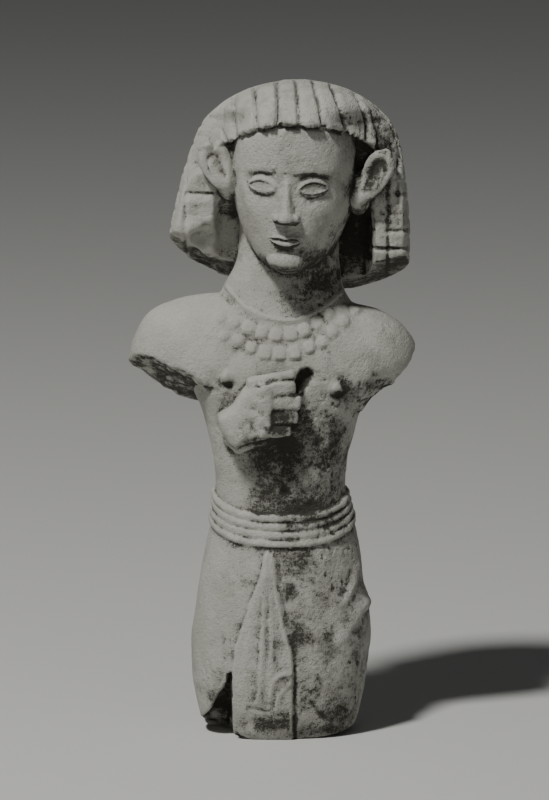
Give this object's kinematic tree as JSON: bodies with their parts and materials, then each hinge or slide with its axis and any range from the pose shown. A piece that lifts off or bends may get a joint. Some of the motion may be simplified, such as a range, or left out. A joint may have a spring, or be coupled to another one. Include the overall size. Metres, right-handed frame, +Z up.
{
  "type": "limestone figure",
  "caption": "Carved limestone votive figure of a man in a lock wig, bead collar, corded girdle and kilt, with a fist on the chest; arms and legs broken away.",
  "frame": {"origin": "on the flat of the broken underside, below the middle of the trunk", "axes": "+Z up the figure, -Y the way the figure faces, so its own right side is at -X"},
  "size_m": [0.1427, 0.0887, 0.3291],
  "materials": {
    "limestone": null
  },
  "bodies": {
    "root": {"limestone_figure": "limestone"}
  },
  "joints": []
}
